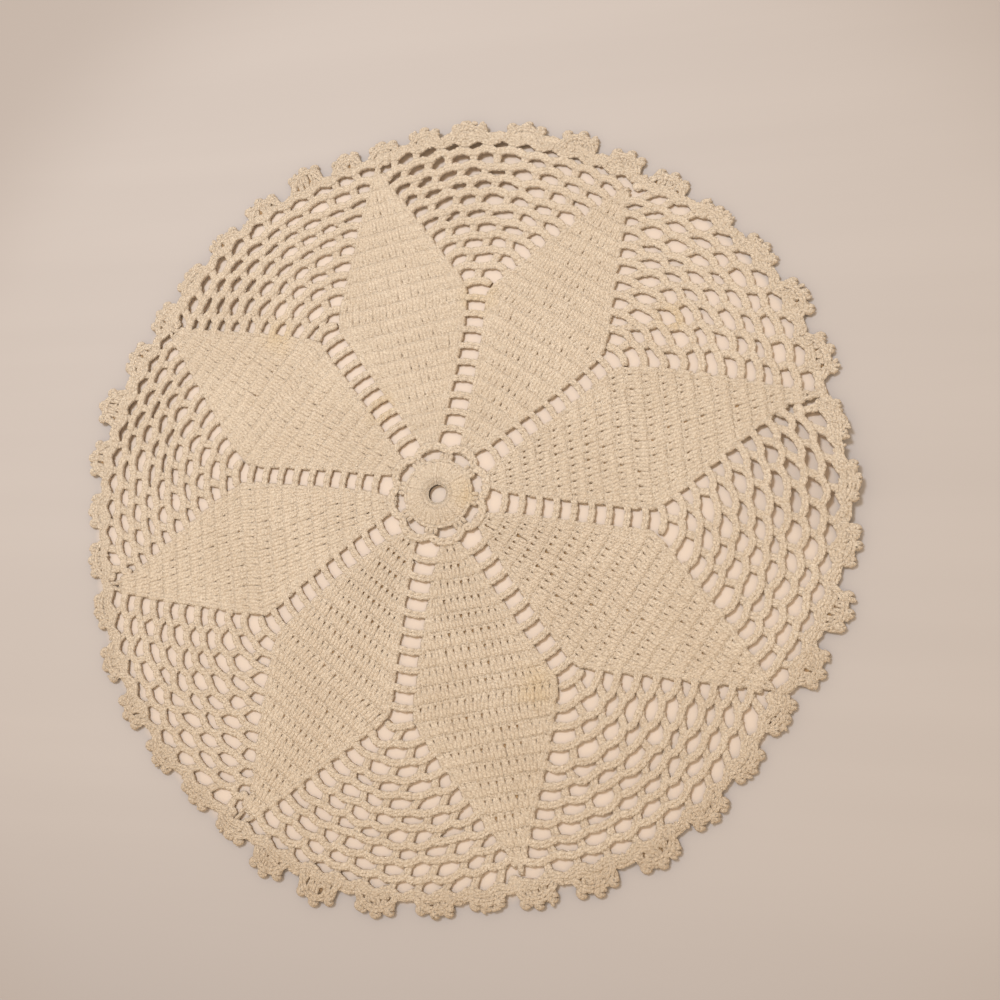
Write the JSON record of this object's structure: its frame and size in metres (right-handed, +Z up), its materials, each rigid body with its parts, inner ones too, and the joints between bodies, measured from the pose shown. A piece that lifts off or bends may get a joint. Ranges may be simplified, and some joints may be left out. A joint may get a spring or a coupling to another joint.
{
  "type": "crocheted lace doily",
  "caption": "Round crocheted cotton doily with solid kite-shaped petals, ladders between them, open net sectors and a scalloped picot edge.",
  "frame": {"origin": "centre of the bounding box in plan, on the surface that the doily lies on", "axes": "+Z up out of the surface, through the thickness; +X to the right and +Y away, as seen from above"},
  "size_m": [0.2152, 0.216, 0.0047],
  "materials": {
    "cotton": "matt mercerised crochet cotton, warm cream"
  },
  "bodies": {
    "root": {"doily": "cotton"}
  },
  "joints": []
}
